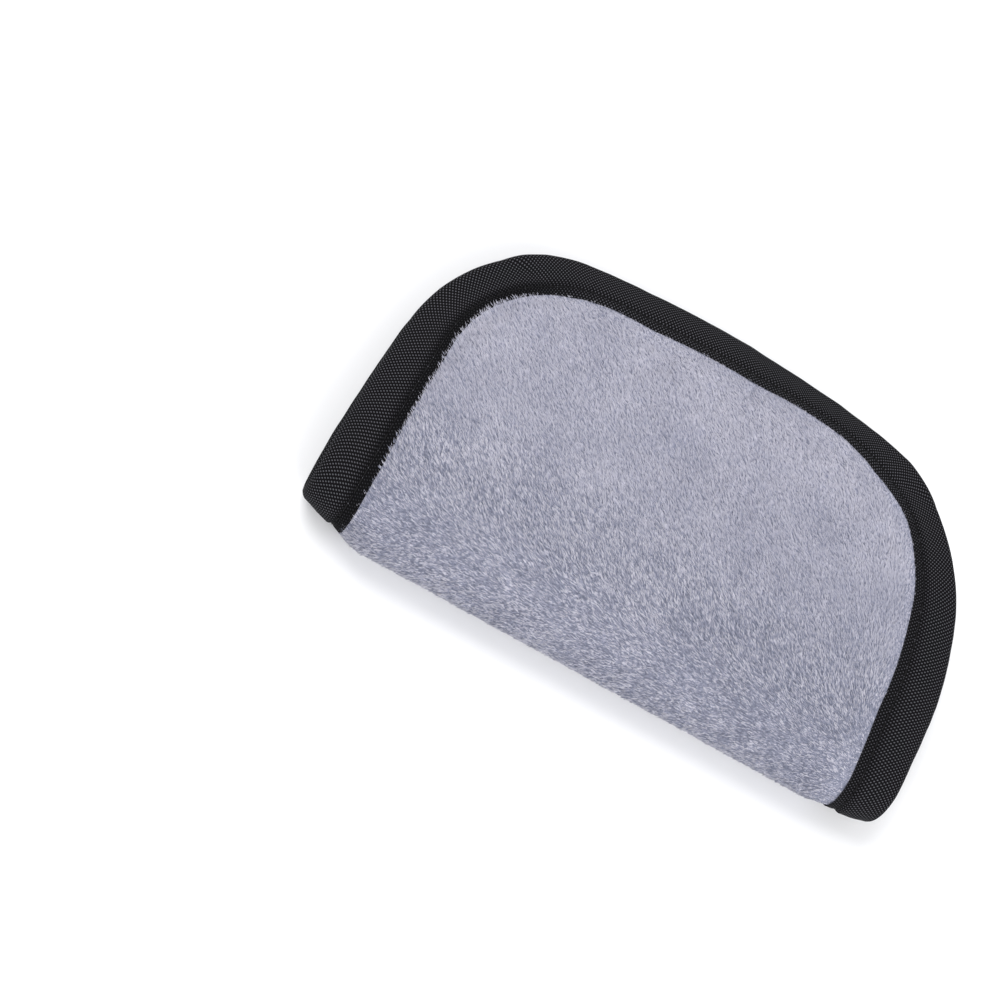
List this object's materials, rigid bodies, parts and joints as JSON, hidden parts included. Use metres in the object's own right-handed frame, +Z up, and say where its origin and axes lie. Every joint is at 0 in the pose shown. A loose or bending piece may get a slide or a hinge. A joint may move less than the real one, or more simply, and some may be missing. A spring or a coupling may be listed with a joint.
{
  "type": "seat belt shoulder pad",
  "caption": "Padded sleeve folded lengthwise round a seat belt: plush outside, edge bound with woven tape, free edges held shut by hook and loop strips.",
  "frame": {"origin": "centre of the bounding box on the surface that the pad lies on, under the lower flap", "axes": "+X along the fold, which is also the way the belt runs; +Y from the fold to the free edges; +Z up, from the lower flap to the upper one"},
  "size_m": [0.16, 0.097, 0.0196],
  "materials": {
    "plush": "short-pile blue grey plush",
    "foam": "open-cell foam",
    "lining": "black knitted lining",
    "binding_tape": "black plain-woven tape",
    "sewing_thread": "black sewing thread",
    "hook_tape": "black nylon hooks",
    "loop_tape": "black brushed loops"
  },
  "bodies": {
    "root": {"plush_cover": "plush", "foam_core": "foam", "inner_lining": "lining", "edge_binding": "binding_tape", "binding_needle_thread": "sewing_thread", "binding_bobbin_thread": "sewing_thread", "hook_strip": "hook_tape", "hook_strip_thread": "sewing_thread", "loop_strip": "loop_tape", "loop_strip_thread": "sewing_thread"}
  },
  "joints": []
}
